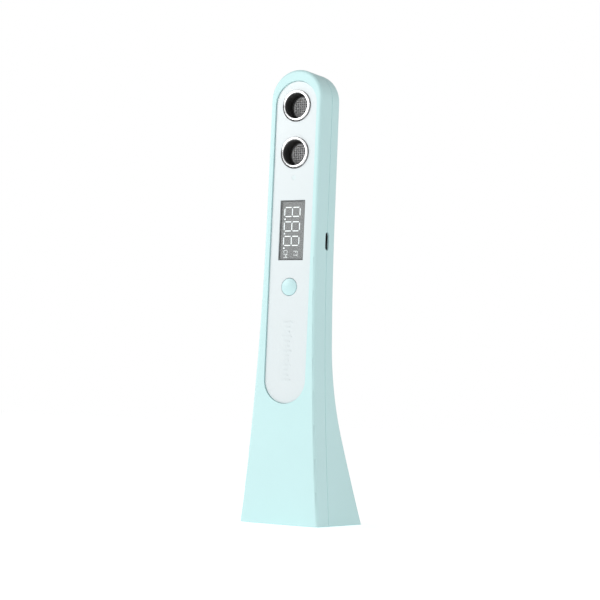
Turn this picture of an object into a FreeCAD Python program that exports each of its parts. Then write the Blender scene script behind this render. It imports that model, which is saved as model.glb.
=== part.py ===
"""Handheld ultrasonic height meter: a slim flared casing in two shells, with two sound
horns, a three-digit display, one push button and a charging port.

Millimetres. +Z runs from the flat base to the rounded top, the face looks to -Y, and the
charging port is on the +X side. The origin is the middle of the base's footprint.
Depths are counted from the plane of the face, backwards, until a piece is saved.
"""
import FreeCAD, Part
import math
import os

V = FreeCAD.Vector

# ---- casing, outside ----
HEIGHT = 228.0
BASE_WIDTH = 45.6            # across X, where the shells start
BASE_DEPTH = 46.8            # across Y, where the shells start
WAIST_WIDTH = 29.9           # where the side flare begins
TOP_WIDTH = 29.4             # diameter of the round top
HANDLE_DEPTH = 20.4
SIDE_FLARE_TOP = 150.0
REAR_FLARE_TOP = 90.0
REAR_FLARE_RADIUS = 125.0
FRONT_EDGE_RADIUS = 1.5
REAR_EDGE_RADIUS = 3.6
INNER_EDGE_LEAST = 0.4       # no inner edge is sharper than this
PAD_PROUD = 0.3              # the pad lifts the shells off the table by this

# ---- casing, inside ----
WALL = 2.0
BASE_FLOOR = 3.0
SEAM_DEPTH = 10.8
SEAM_GROOVE_WIDTH = 0.3      # a fine line where the two shells meet
SEAM_GROOVE_DEPTH = 0.25
LIP_THICK = 0.8
LIP_HEIGHT = 1.0
LIP_GAP = 0.12
LIP_ROOT = 1.2
RUN_OUT = 15.0               # outlines run on below the base before they are cut there
TINY = 0.01                  # how near two lengths are when they count as equal

# ---- face panel ----
PANEL_SET_BACK = 0.8
PANEL_THICK = 1.0
PANEL_HALF_WIDTH = 11.9
PANEL_LENGTH = 162.1
PANEL_TOP_DROP = 5.7
PANEL_GAP = 0.1
PANEL_EDGE_RADIUS = 0.3
HOLE_GAP = 0.1               # round what passes through the tray
ADHESIVE_THICK = 0.15
ADHESIVE_INSET = 0.3
TRAY_FLOOR = 1.65
TRAY_RIM = 1.2

# ---- sound horns and transducers ----
RING_DROP = 18.3             # from the top of the casing to the upper horn
RING_PITCH = 23.8
RING_WALL = 1.75             # the ring's width, from the horn outwards
HORN_OVER_CAN = 0.25         # how far the horn's radius is over the can's
RING_PROUD = 0.6
RING_EDGE_RADIUS = 0.5
RING_MOUTH_RADIUS = 0.2
SPIGOT_WALL = 0.85
SPIGOT_LENGTH = 1.25
SLEEVE_WALL = 0.95
SLEEVE_LIP = 0.5             # the lip narrows the horn in front of the mesh
SLEEVE_LIP_THICK = 1.0
SLEEVE_PAST_LIP = 5.0        # how much of the can the sleeve holds
SLEEVE_FLANGE_THICK = 1.0
HORN_DEPTH = 6.1             # from the panel to the back of the lip
SLEEVE_FLANGE = 1.1
CAN_RADIUS = 6.0
CAN_LENGTH = 8.9
CAN_WALL = 0.35
CAN_RIM = 0.7                # the can's front is turned in by this
CAN_GAP = 0.05
MESH_THICK = 0.25
CONE_BEHIND_FRONT = 1.6
CONE_RADIUS = 4.6
CONE_TIP_RADIUS = 1.3
CONE_LENGTH = 2.6
CONE_WALL = 0.25
PLATE_THICK = 0.3
PLATE_GAP = 0.4
PIEZO_RADIUS = 3.2
PIEZO_THICK = 0.6
PLUG_THICK = 1.6
PLUG_GAP = 0.03
LEDGE_INNER_RADIUS = 4.4
LEDGE_GAP = 0.1
PIN_X = (-1.27, 1.27)
PIN_RADIUS = 0.35
PIN_GAP = 0.02
PIN_INSIDE = 2.4
PIN_STICK_OUT = 0.5
SENSOR_BOARD_THICK = 1.0
SENSOR_BOARD_MARGIN = 2.0    # beside the cans
SENSOR_BOARD_END = 1.5       # above and below the cans
SENSOR_BOARD_CORNER = 1.5
HARNESS_WIRES = 4
HARNESS_PITCH = 1.3
HARNESS_RADIUS = 0.4
HARNESS_BEND = 0.8
HARNESS_STAND_OFF = 1.8
HARNESS_UP = 1.0
HARNESS_DOWN = 4.0

# ---- display ----
DISPLAY_DROP = 81.1
WINDOW_WIDTH = 14.4
WINDOW_HEIGHT = 30.2
LENS_SET_BACK = 0.1          # behind the panel's face
LENS_THICK = 0.6
LENS_GAP = 0.1               # inside the window
LENS_CORNER = 0.2
GASKET_THICK = 0.2
GASKET_WIDTH = 0.5
MODULE_GAP = 0.1             # inside the window
MODULE_ROOM = 0.15           # to the posts and the port
DIGIT_COUNT = 3
DIGIT_TALL = 9.4             # across X: the digits lie on their side
DIGIT_WIDE = 5.1
DIGIT_PITCH = 7.3
FIRST_DIGIT_UP = 9.3         # from the display's centre to the first digit's
DIGIT_SHIFT = -0.5
BAR_WIDTH = 0.52
BAR_GAP = 0.36               # from a bar's tip to the corner it points to
BAR_DEPTH = 1.0
POINT_RADIUS = 0.45
POINT_IN = 0.3               # from the digits' foot line to the points

# ---- button and switch ----
BUTTON_DROP = 109.6
BUTTON_RADIUS = 4.35
BUTTON_GAP = 0.2
BUTTON_PROUD = 0.8
BUTTON_DOME = 0.6
BUTTON_EDGE_RADIUS = 0.4
BUTTON_FLANGE = 1.0
BUTTON_FLANGE_THICK = 0.9
BUTTON_FLANGE_GAP = 0.05     # behind the tray
BUTTON_FOOT_MARGIN = 0.5
SWITCH_SIZE = 6.2
SWITCH_HEIGHT = 3.5
PLUNGER_RADIUS = 1.7
PLUNGER_LENGTH = 1.5
PLUNGER_GAP = 0.08
SWITCH_COVER = 0.3
SWITCH_FLOOR = 0.8
PLUNGER_FLANGE = 0.5
PLUNGER_FLANGE_THICK = 0.7
PLUNGER_FLANGE_GAP = 0.05
POCKET_GAP = 0.4
DOME_RADIUS = 2.5
DOME_RISE = 0.7
DOME_THICK = 0.1

# ---- boards ----
BOARD_THICK = 1.0
BOARD_HALF_WIDTH = 11.3
BOARD_TOP_DROP = 51.0
BOARD_LENGTH = 73.0
BOARD_NECK_DROP = 10.5       # the board narrows between the upper screws
POST_RADIUS = 1.6
POST_PIN = 0.7
POST_GAP = 0.08
POST_EDGE = 0.4              # from a post to the board's side edge
POST_BELOW_WINDOW_TOP = 1.0
POST_ABOVE_BOARD_LOW = 3.0
PIN_THROUGH = 0.5            # how far a post's pin stands out behind the board
BOARD_GAP = 0.15
CONTROL_CHIP_SIZE = 7.0
CONTROL_CHIP_DOWN = 8.0      # from the display's centre
CHIP_THICK = 1.2
CHIP_CHAMFER = 0.2
CHARGER_CHIP = (3.0, 3.9)
CHARGER_CHIP_X = -3.0
CHARGER_CHIP_UP = 18.0       # from the board's lower edge
SMALL_PART = (1.6, 0.8, 0.6)
SMALL_PART_ROWS = (-7.5, 6.0)
SMALL_PARTS_PER_ROW = 6
SMALL_PART_PITCH = 3.2
SMALL_PART_TOP_UP = 12.0     # from the display's centre
SMALL_PART_PORT_ROOM = 2.0
CRYSTAL = (3.2, 5.0, 1.1)
CRYSTAL_CORNER = 0.8
CRYSTAL_UP = 4.0

# ---- charging port ----
PORT_DROP = 85.9
PORT_LENGTH = 9.3            # cut-out, along Z
PORT_WIDTH = 3.4
PORT_SHELL_GAP = 0.12        # cut-out edge to the metal shell
PORT_SHELL_WALL = 0.3
PORT_SET_BACK = 0.7
PORT_SHELL_DEPTH = 6.8
PORT_BACK_WALL = 0.6
PORT_ROOM = 0.2              # from the board to the port and the screw posts
TONGUE_THICK = 0.7
TONGUE_SET_BACK = 0.8
TONGUE_END_GAP = 1.3

# ---- indicator ----
INDICATOR_DROP = 54.5
INDICATOR_RADIUS = 1.2
INDICATOR_GAP = 0.05
INDICATOR_FLANGE = 0.8
INDICATOR_FLANGE_THICK = 0.85
INDICATOR_PIPE_RADIUS = 0.95
LED_SIZE = 1.6
LED_HEIGHT = 0.8
LED_TO_PIPE = 0.3

# ---- battery ----
CELL_WIDTH = 20.0
CELL_LENGTH = 36.0
CELL_THICK = 5.0
CELL_BELOW_BOARD = 4.0
CELL_FENCE_GAP = 0.3
FENCE_THICK = 1.2
FOAM_THICK = 0.5
LEAD_RADIUS = 0.5
LEAD_SPREAD = 1.25
LEAD_BEND = 0.9
CELL_EDGE_RADIUS = 0.9
FENCE_BELOW_TOP = 2.0
FOAM_INSET_X = 1.5
FOAM_INSET_Z = 2.0
CONNECTOR = (5.6, 3.6, 2.6)
CONNECTOR_UP = 2.0           # from the board's lower edge

# ---- fasteners ----
SCREW_HOLE = 1.25            # radius of the clearance hole in the rear shell
SCREW_LENGTH = 8.0
SCREW_TIP = 0.8
SCREW_TIP_RADIUS = 0.3
SCREW_HEAD_RADIUS = 1.95
SCREW_HEAD_THICK = 1.4
SCREW_HEAD_EDGE = 0.5
CROSS_LONG = 2.2
CROSS_WIDE = 0.5
CROSS_DEEP = 0.8
WELL_GAP = 0.3
WELL_WALL = 1.0
WELL_FLOOR = 2.5
PILOT_RADIUS = 0.95
PILOT_PAST_SCREW = 2.0
FRONT_POST_RADIUS = 2.4
UPPER_SCREW_DROP = 57.0
UPPER_SCREW_X = 9.6
LOWER_SCREW_Z = 26.0
LOWER_SCREW_INSET = 5.6      # from the casing's side at that height

# ---- base pad ----
PAD_THICK = 1.3
PAD_INSET = 3.0
PAD_GAP = 0.15
PAD_CORNER = 2.0
PAD_GLUE = 0.05              # under the pocket's ceiling

# ---- values worked out from the ones above ----
TOP_RADIUS = TOP_WIDTH / 2
ARCH_Z = HEIGHT - TOP_RADIUS
RING_Z = (HEIGHT - RING_DROP, HEIGHT - RING_DROP - RING_PITCH)
HORN_RADIUS = CAN_RADIUS + HORN_OVER_CAN
RING_RADIUS = HORN_RADIUS + RING_WALL
PIN_HOLE = PIN_RADIUS + PIN_GAP
TRAY_BACK = PANEL_SET_BACK + PANEL_THICK + ADHESIVE_THICK + TRAY_FLOOR
RECESS_FLOOR = TRAY_BACK - TRAY_FLOOR
PANEL_BACK = PANEL_SET_BACK + PANEL_THICK
PANEL_TOP_ARC = HEIGHT - PANEL_TOP_DROP - PANEL_HALF_WIDTH
PANEL_LOW_ARC = HEIGHT - PANEL_TOP_DROP - PANEL_LENGTH + PANEL_HALF_WIDTH
BOARD_FRONT = SEAM_DEPTH - BOARD_THICK / 2
BOARD_BACK = SEAM_DEPTH + BOARD_THICK / 2
BOARD_TOP = HEIGHT - BOARD_TOP_DROP
BOARD_LOW = BOARD_TOP - BOARD_LENGTH
DISPLAY_Z = HEIGHT - DISPLAY_DROP
BUTTON_Z = HEIGHT - BUTTON_DROP
PORT_Z = HEIGHT - PORT_DROP
INDICATOR_Z = HEIGHT - INDICATOR_DROP
LENS_FRONT = PANEL_SET_BACK + LENS_SET_BACK
LENS_BACK = LENS_FRONT + LENS_THICK
MODULE_FACE = LENS_BACK + GASKET_THICK
SWITCH_FRONT = BOARD_FRONT - SWITCH_HEIGHT
COVER_BACK = SWITCH_FRONT + SWITCH_COVER
PLUNGER_TIP = SWITCH_FRONT - PLUNGER_LENGTH
PLUNGER_BACK = COVER_BACK + PLUNGER_FLANGE_GAP + PLUNGER_FLANGE_THICK
HANDLE_INSIDE = HANDLE_DEPTH - WALL
CAN_FRONT = PANEL_SET_BACK + HORN_DEPTH
SLEEVE_BACK = CAN_FRONT + SLEEVE_PAST_LIP
CAN_BACK = CAN_FRONT + CAN_LENGTH
SENSOR_BOARD_BACK = CAN_BACK + SENSOR_BOARD_THICK
SLEEVE_RADIUS = HORN_RADIUS + SLEEVE_WALL
WELL_RADIUS = SCREW_HEAD_RADIUS + WELL_GAP
SEAT_DEPTH = SEAM_DEPTH + WELL_FLOOR
CELL_TOP = BOARD_LOW - CELL_BELOW_BOARD
CELL_LOW = CELL_TOP - CELL_LENGTH
CELL_BACK = HANDLE_INSIDE - FOAM_THICK
UPPER_SCREW_Z = HEIGHT - UPPER_SCREW_DROP
CONNECTOR_LOW = BOARD_LOW + CONNECTOR_UP
CAN_INSIDE = CAN_RADIUS - CAN_WALL
CONE_FRONT = CAN_FRONT + CONE_BEHIND_FRONT
CONE_BACK = CONE_FRONT + CONE_LENGTH
SENSOR_BOARD_MIDDLE = sum(RING_Z) / 2
SENSOR_BOARD_LENGTH = RING_PITCH + 2 * (CAN_RADIUS + SENSOR_BOARD_END)
SENSOR_BOARD_LOW = SENSOR_BOARD_MIDDLE - SENSOR_BOARD_LENGTH / 2
WIDE = BASE_WIDTH + RUN_OUT      # wider, deeper and taller than the casing
DEEP = BASE_DEPTH + RUN_OUT
TALL = HEIGHT + RUN_OUT


# ---- plain shapes ----
def rod(radius, start, end, x, z):
    """A cylinder along the depth, from one depth to another."""
    return Part.makeCylinder(radius, end - start, V(x, start, z), V(0, 1, 0))


def box_of(size, front, x, z):
    """A block given as (width, height, depth), standing on a depth."""
    width, height, depth = size
    return centred(width, height, (front, front + depth), x, z)


def tube(outer, inner, start, end, x, z):
    return rod(outer, start, end, x, z).cut(rod(inner, start, end, x, z))


def block(x_span, depth_span, z_span):
    (x0, x1), (y0, y1), (z0, z1) = x_span, depth_span, z_span
    return Part.makeBox(x1 - x0, y1 - y0, z1 - z0, V(x0, y0, z0))


def centred(width, height, depth_span, x, z):
    """A block of a given width and height about a point of the face."""
    return block((x - width / 2, x + width / 2), depth_span, (z - height / 2, z + height / 2))


def rounded(width, height, radius, depth_span, x, z):
    """A centred block whose four corners, seen from the front, are round."""
    solid = centred(width, height, depth_span, x, z)
    corners = [e for e in solid.Edges if e.BoundBox.YLength > TINY]
    return solid.makeFillet(radius, corners)


def stadium(half_width, low_centre, high_centre, start, end):
    """A plate with round ends about two centres on the casing's midline."""
    left, right = -half_width, half_width
    wire = Part.Wire([
        Part.Arc(V(right, start, high_centre), V(0, start, high_centre + half_width),
                 V(left, start, high_centre)).toShape(),
        Part.makeLine(V(left, start, high_centre), V(left, start, low_centre)),
        Part.Arc(V(left, start, low_centre), V(0, start, low_centre - half_width),
                 V(right, start, low_centre)).toShape(),
        Part.makeLine(V(right, start, low_centre), V(right, start, high_centre)),
    ])
    return Part.Face(wire).extrude(V(0, end - start, 0))


def slot_through_side(length, width, x_span):
    """A round-ended slot along Z that runs through the casing's side on the seam."""
    x0, x1 = x_span
    half, straight = width / 2, (length - width) / 2
    ends = [Part.makeCylinder(half, x1 - x0, V(x0, SEAM_DEPTH, z), V(1, 0, 0))
            for z in (PORT_Z - straight, PORT_Z + straight)]
    middle = block(x_span, (SEAM_DEPTH - half, SEAM_DEPTH + half), (PORT_Z - straight, PORT_Z + straight))
    return joined([middle] + ends)


def joined(solids):
    return solids[0].fuse(solids[1:]).removeSplitter()


def path(points, bend):
    """Straight runs through the points, with an arc of one radius at each corner."""
    edges = []
    here = points[0]
    for before, corner, after in zip(points, points[1:], points[2:]):
        back = (before - corner).normalize()
        ahead = (after - corner).normalize()
        half_angle = back.getAngle(ahead) / 2
        reach = bend / math.tan(half_angle)
        start = corner + back * reach
        end = corner + ahead * reach
        middle_way = (back + ahead).normalize()
        centre = corner + middle_way * (bend / math.sin(half_angle))
        edges.append(Part.makeLine(here, start))
        edges.append(Part.Arc(start, centre - middle_way * bend, end).toShape())
        here = end
    edges.append(Part.makeLine(here, points[-1]))
    return Part.Wire(edges)


def lead(points, radius, bend):
    """A round wire along a path, with flat ends."""
    spine = path(points, bend)
    circle = Part.makeCircle(radius, points[0], points[1] - points[0])
    return spine.makePipeShell([Part.Wire([circle])], True, False)


# ---- the casing's outline ----
def tangent_arc(start, direction, end):
    """An arc that leaves start along direction and ends at end, with its last direction."""
    chord = end - start
    along = V(chord).normalize()
    turn = direction.getAngle(chord)
    side = (direction - along * direction.dot(along)).normalize()
    middle = (start + end) * 0.5 + side * (chord.Length / 2 * math.tan(turn / 2))
    last = along * (2 * direction.dot(along)) - direction
    return Part.Arc(start, middle, end).toShape(), last.normalize()


def mirrored_x(point):
    return V(-point.x, point.y, point.z)


def front_outline():
    """The casing seen from the front: a round top, a near-straight handle, a flared foot."""
    top = V(TOP_RADIUS, 0, ARCH_Z)
    waist = V(WAIST_WIDTH / 2, 0, SIDE_FLARE_TOP)
    base = V(BASE_WIDTH / 2, 0, PAD_PROUD)
    flare, last = tangent_arc(waist, (waist - top).normalize(), base)
    low = base + last * RUN_OUT
    right = [Part.makeLine(top, waist), flare, Part.makeLine(base, low)]
    left = [edge.mirror(V(0, 0, 0), V(1, 0, 0)) for edge in right]
    arch = Part.Arc(top, V(0, 0, HEIGHT), mirrored_x(top)).toShape()
    sole = Part.makeLine(low, mirrored_x(low))
    return Part.Wire(Part.__sortEdges__([arch, sole] + right + left))


def rear_flare():
    """Where the back's arc ends, as an angle, and the points at both ends of its straight run."""
    centre = V(0, HANDLE_DEPTH + REAR_FLARE_RADIUS, REAR_FLARE_TOP)
    base = V(0, BASE_DEPTH, PAD_PROUD)
    reach = centre - base
    turn = math.atan2(reach.z, reach.y) - math.acos(REAR_FLARE_RADIUS / reach.Length)
    foot = centre - V(0, math.cos(turn), math.sin(turn)) * REAR_FLARE_RADIUS
    half = turn / 2
    middle = centre - V(0, math.cos(half), math.sin(half)) * REAR_FLARE_RADIUS
    return middle, foot, base


def side_outline():
    """The casing seen from the side: a flat face, and a back that sweeps out to the base."""
    middle, foot, base = rear_flare()
    handle = V(0, HANDLE_DEPTH, REAR_FLARE_TOP)
    above = HEIGHT + RUN_OUT
    low = base + (base - foot).normalize() * RUN_OUT
    corners = [V(0, 0, low.z), V(0, 0, above), V(0, HANDLE_DEPTH, above)]
    return Part.Wire([
        Part.makeLine(corners[0], corners[1]),
        Part.makeLine(corners[1], corners[2]),
        Part.makeLine(corners[2], handle),
        Part.Arc(handle, middle, foot).toShape(),
        Part.makeLine(foot, low),
        Part.makeLine(low, corners[0]),
    ])


def outline_face(wire, inset):
    face = Part.Face(wire)
    return face.makeOffset2D(-inset) if inset else face


def body(inset, front_radius, rear_radius, bottom):
    """The casing's solid form, drawn in by inset all round and cut flat at the bottom."""
    front = outline_face(front_outline(), inset)
    side = outline_face(side_outline(), inset)
    side.translate(V(-WIDE, 0, 0))
    solid = front.extrude(V(0, DEEP, 0)).common(side.extrude(V(2 * WIDE, 0, 0))).removeSplitter()
    if front_radius:
        solid = solid.makeFillet(front_radius, [e for e in solid.Edges if is_front_rim(e, inset)])
    if rear_radius:
        solid = solid.makeFillet(rear_radius, [e for e in solid.Edges if is_rear_rim(e, inset)])
    return solid.common(block((-WIDE, WIDE), (-RUN_OUT, DEEP), (bottom, TALL)))


def is_front_rim(edge, inset):
    """True for the edges round the face, without the ones below the base."""
    box = edge.BoundBox
    return box.YMax < inset + TINY and box.ZLength > TINY


def is_rear_rim(edge, inset):
    """True for the edges round the back, without the ones that cross it."""
    box = edge.BoundBox
    crosses = box.XMin < -TINY and box.XMax > TINY and box.ZMin < ARCH_Z - WALL
    return box.YMin > HANDLE_DEPTH - inset - TINY and box.ZLength > TINY and not crosses


# ---- the two shells ----
def inner_edge_radius(inset):
    return max(REAR_EDGE_RADIUS - inset, INNER_EDGE_LEAST)


def cavity():
    return body(WALL, 0, inner_edge_radius(WALL), BASE_FLOOR + PAD_PROUD)


def core():
    """The casing's form to half the wall's depth: what joins the wall from inside ends there."""
    return body(WALL / 2, 0, inner_edge_radius(WALL / 2), BASE_FLOOR / 2 + PAD_PROUD)


def slab(start, end):
    """Everything between two depths."""
    return block((-WIDE, WIDE), (start, end), (-RUN_OUT, TALL))


def seam_groove(outer):
    """What the fine line round the seam takes away."""
    half = SEAM_GROOVE_WIDTH / 2
    band = slab(SEAM_DEPTH - half, SEAM_DEPTH + half)
    return outer.common(band).cut(body(SEAM_GROOVE_DEPTH, 0, 0, PAD_PROUD + SEAM_GROOVE_DEPTH))


def half_width_at(z):
    """Half the casing's width at a height on the flare, from its arc."""
    level = Part.makeLine(V(0, 0, z), V(BASE_WIDTH, 0, z))
    return max(vertex.X for vertex in front_outline().section(level).Vertexes)


def screw_places():
    lower_x = half_width_at(LOWER_SCREW_Z) - LOWER_SCREW_INSET
    return [(side * x, z) for x, z in ((UPPER_SCREW_X, UPPER_SCREW_Z), (lower_x, LOWER_SCREW_Z))
            for side in (-1, 1)]


def board_post_places():
    """Pins that place the main board: two by the display, two beside the switch."""
    x = BOARD_HALF_WIDTH - POST_RADIUS - POST_EDGE
    high = DISPLAY_Z + WINDOW_HEIGHT / 2 - POST_BELOW_WINDOW_TOP
    return [(side * x, z) for z in (high, BOARD_LOW + POST_ABOVE_BOARD_LOW) for side in (-1, 1)]


def tray():
    """The thicker front wall around and behind the face panel."""
    half = PANEL_HALF_WIDTH + PANEL_GAP + TRAY_RIM
    return stadium(half, PANEL_LOW_ARC, PANEL_TOP_ARC, WALL / 2, TRAY_BACK)


def face_cuts(start, end, margin):
    """The horn, display, button and indicator holes that the panel and the tray share."""
    cuts = [rod(SLEEVE_RADIUS + margin, start, end, 0, z) for z in RING_Z]
    cuts.append(centred(WINDOW_WIDTH + 2 * margin, WINDOW_HEIGHT + 2 * margin, (start, end), 0, DISPLAY_Z))
    cuts.append(rod(BUTTON_RADIUS + BUTTON_GAP + margin, start, end, 0, BUTTON_Z))
    cuts.append(rod(INDICATOR_RADIUS + INDICATOR_GAP + margin, start, end, 0, INDICATOR_Z))
    return cuts


def pad_shape(inset, corner, low, high):
    """The casing's rectangular footprint drawn in by inset, with round corners."""
    half = BASE_WIDTH / 2 - inset
    solid = block((-half, half), (inset, BASE_DEPTH - inset), (low, high))
    return solid.makeFillet(corner, [e for e in solid.Edges if e.BoundBox.ZLength > TINY])


def pad_pocket():
    return pad_shape(PAD_INSET - PAD_GAP, PAD_CORNER + PAD_GAP, PAD_PROUD - PAD_THICK, PAD_THICK)


def port_cut():
    return slot_through_side(PORT_LENGTH, PORT_WIDTH, (half_width_at(PORT_Z) - 2 * WALL, BASE_WIDTH))


def make_front_shell(outer, inner, within):
    shell = outer.common(slab(-RUN_OUT, SEAM_DEPTH)).cut(inner)
    posts = [rod(FRONT_POST_RADIUS, WALL / 2, SEAM_DEPTH, x, z).common(within) for x, z in screw_places()]
    board_posts = [rod(POST_RADIUS, TRAY_BACK - WALL / 2, BOARD_FRONT, x, z) for x, z in board_post_places()]
    pins = [rod(POST_PIN, TRAY_BACK, BOARD_BACK + PIN_THROUGH, x, z) for x, z in board_post_places()]
    shell = shell.fuse([tray().common(within)] + posts).fuse(board_posts).fuse(pins)
    recess = stadium(PANEL_HALF_WIDTH + PANEL_GAP, PANEL_LOW_ARC, PANEL_TOP_ARC, -RUN_OUT, RECESS_FLOOR)
    screw_end = SEAT_DEPTH - SCREW_LENGTH
    pilots = [rod(PILOT_RADIUS, screw_end - PILOT_PAST_SCREW, SEAM_DEPTH, x, z) for x, z in screw_places()]
    shell = shell.cut([recess] + pilots)
    shell = shell.cut(face_cuts(0, TRAY_BACK, HOLE_GAP) + [seam_groove(outer)])
    return shell.cut([port_cut(), pad_pocket()]).removeSplitter()


def lip():
    """A ring on the rear shell that locates inside the front shell's wall."""
    low = BASE_FLOOR + PAD_PROUD
    inner = body(WALL + LIP_GAP + LIP_THICK, 0, 0, low + LIP_GAP + LIP_THICK)
    ring = body(WALL + LIP_GAP, 0, 0, low + LIP_GAP)
    ring = ring.common(slab(SEAM_DEPTH - LIP_HEIGHT, SEAM_DEPTH + LIP_ROOT))
    root = body(WALL / 2, 0, 0, low / 2).common(slab(SEAM_DEPTH, SEAM_DEPTH + LIP_ROOT))
    return ring.fuse(root).cut(inner)


def fences():
    """Upright ribs that hold the cell, rails that carry its foam pad, and a floor under it."""
    near, far = CELL_BACK - CELL_THICK / 2, BASE_DEPTH
    x = CELL_WIDTH / 2 + CELL_FENCE_GAP
    floor_top = CELL_LOW - CELL_FENCE_GAP
    upright = (floor_top - FENCE_THICK, CELL_TOP - FENCE_BELOW_TOP)
    ribs = [block(span, (near, far), upright) for span in ((-x - FENCE_THICK, -x), (x, x + FENCE_THICK))]
    rails = [block((x - FENCE_THICK / 2, x + FENCE_THICK / 2), (HANDLE_INSIDE, far), upright)
             for x in (-CELL_WIDTH / 3, 0, CELL_WIDTH / 3)]
    floor = block((-x, x), (near, far), (floor_top - FENCE_THICK, floor_top))
    return ribs + rails + [floor]


def make_rear_shell(outer, inner, within):
    shell = outer.common(slab(SEAM_DEPTH, DEEP)).cut(inner)
    posts = [rod(WELL_RADIUS + WELL_WALL, SEAM_DEPTH, BASE_DEPTH, x, z).common(within)
             for x, z in screw_places()]
    ribs = [rib.common(within) for rib in fences()]
    shell = shell.fuse(posts + ribs + [lip()])
    room = [rod(FRONT_POST_RADIUS + LIP_GAP, 0, SEAM_DEPTH, x, z) for x, z in screw_places()]
    wells = [rod(WELL_RADIUS, SEAT_DEPTH, DEEP, x, z) for x, z in screw_places()]
    holes = [rod(SCREW_HOLE, SEAM_DEPTH, SEAT_DEPTH, x, z) for x, z in screw_places()]
    edge = BOARD_HALF_WIDTH + BOARD_GAP
    board_room = block((-edge, edge), (SEAM_DEPTH - LIP_HEIGHT, SEAM_DEPTH + LIP_ROOT),
                       (BOARD_LOW, BOARD_TOP))
    shell = shell.cut(room + wells + holes + [board_room, seam_groove(outer)])
    return shell.cut([port_cut(), pad_pocket()]).removeSplitter()


def make_base_pad():
    return pad_shape(PAD_INSET, PAD_CORNER, 0, PAD_THICK - PAD_GLUE)


# ---- the face ----
def make_face_panel():
    plate = stadium(PANEL_HALF_WIDTH, PANEL_LOW_ARC, PANEL_TOP_ARC, PANEL_SET_BACK, PANEL_BACK)
    rim = [e for e in plate.Edges if e.BoundBox.YMax < PANEL_SET_BACK + TINY]
    return plate.makeFillet(PANEL_EDGE_RADIUS, rim).cut(face_cuts(0, PANEL_BACK, 0))


def make_panel_adhesive():
    half = PANEL_HALF_WIDTH - ADHESIVE_INSET
    sheet = stadium(half, PANEL_LOW_ARC, PANEL_TOP_ARC, PANEL_BACK, RECESS_FLOOR)
    return sheet.cut(face_cuts(0, TRAY_BACK, ADHESIVE_INSET))


def make_indicator_lens():
    """A clear plug in the panel's hole, with a flange behind the tray."""
    flange_front = TRAY_BACK + INDICATOR_GAP
    flange_back = flange_front + INDICATOR_FLANGE_THICK
    pipe_end = BOARD_FRONT - LED_HEIGHT - LED_TO_PIPE
    return joined([
        rod(INDICATOR_RADIUS, PANEL_SET_BACK + INDICATOR_GAP, flange_back, 0, INDICATOR_Z),
        rod(INDICATOR_RADIUS + INDICATOR_FLANGE, flange_front, flange_back, 0, INDICATOR_Z),
        rod(INDICATOR_PIPE_RADIUS, flange_front, pipe_end, 0, INDICATOR_Z),
    ])


def make_bezel_ring(z):
    """A bright flat ring with a spigot that presses into the panel's hole."""
    proud = PANEL_SET_BACK - RING_PROUD
    disc = rod(RING_RADIUS, proud, PANEL_SET_BACK, 0, z)
    flange = disc.makeFillet(RING_EDGE_RADIUS, [e for e in disc.Edges if e.BoundBox.YMax < proud + TINY])
    spigot = rod(HORN_RADIUS + SPIGOT_WALL, PANEL_SET_BACK, PANEL_SET_BACK + SPIGOT_LENGTH, 0, z)
    bore = rod(HORN_RADIUS, 0, TRAY_BACK, 0, z)
    ring = joined([flange, spigot]).cut(bore)
    mouth = [e for e in ring.Edges if e.BoundBox.YMax < proud + TINY
             and e.BoundBox.XMax < HORN_RADIUS + TINY]
    return ring.makeFillet(RING_MOUTH_RADIUS, mouth)


def make_horn_sleeve(z):
    """A black tube behind the ring, with a lip in front of the mesh and a seat for the can."""
    front = PANEL_SET_BACK + SPIGOT_LENGTH
    outer = joined([
        rod(SLEEVE_RADIUS, front, SLEEVE_BACK, 0, z),
        rod(SLEEVE_RADIUS + SLEEVE_FLANGE, TRAY_BACK, TRAY_BACK + SLEEVE_FLANGE_THICK, 0, z),
    ])
    cuts = [
        rod(HORN_RADIUS, 0, CAN_FRONT - SLEEVE_LIP_THICK, 0, z),
        rod(HORN_RADIUS - SLEEVE_LIP, 0, CAN_FRONT, 0, z),
        rod(CAN_RADIUS + CAN_GAP, CAN_FRONT, SLEEVE_BACK, 0, z),
    ]
    return outer.cut(cuts)


# ---- a transducer ----
def make_can(z):
    cup = tube(CAN_RADIUS, CAN_INSIDE, CAN_FRONT, CAN_BACK, 0, z)
    rim = tube(CAN_RADIUS - CAN_WALL / 2, CAN_RADIUS - CAN_RIM, CAN_FRONT, CAN_FRONT + CAN_WALL, 0, z)
    return joined([cup, rim])


def make_mesh(z):
    front = CAN_FRONT + CAN_WALL
    return rod(CAN_INSIDE - CAN_GAP, front, front + MESH_THICK, 0, z)


def make_cone(z):
    """A thin horn-shaped resonator with its small end on the piezo disc."""
    place, way = V(0, CONE_FRONT, z), V(0, 1, 0)
    outside = Part.makeCone(CONE_RADIUS, CONE_TIP_RADIUS, CONE_LENGTH, place, way)
    inside = Part.makeCone(CONE_RADIUS - CONE_WALL, CONE_TIP_RADIUS - CONE_WALL, CONE_LENGTH - CONE_WALL,
                           place, way)
    return outside.cut(inside)


def make_piezo(z):
    """A ceramic disc on its metal plate."""
    plate_back = CONE_BACK + PLATE_THICK
    plate = rod(CAN_INSIDE - PLATE_GAP, CONE_BACK, plate_back, 0, z)
    return joined([plate, rod(PIEZO_RADIUS, plate_back, plate_back + PIEZO_THICK, 0, z)])


def make_can_base(z):
    """The plastic base that closes the can and carries the disc's plate on a ledge."""
    outer = CAN_INSIDE - PLUG_GAP
    plug = rod(outer, CAN_BACK - PLUG_THICK, CAN_BACK, 0, z)
    ledge = tube(outer, LEDGE_INNER_RADIUS, CONE_BACK + PLATE_THICK + LEDGE_GAP, CAN_BACK, 0, z)
    return joined([plug, ledge]).cut([rod(PIN_HOLE, CAN_BACK - PLUG_THICK, CAN_BACK, x, z) for x in PIN_X])


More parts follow.
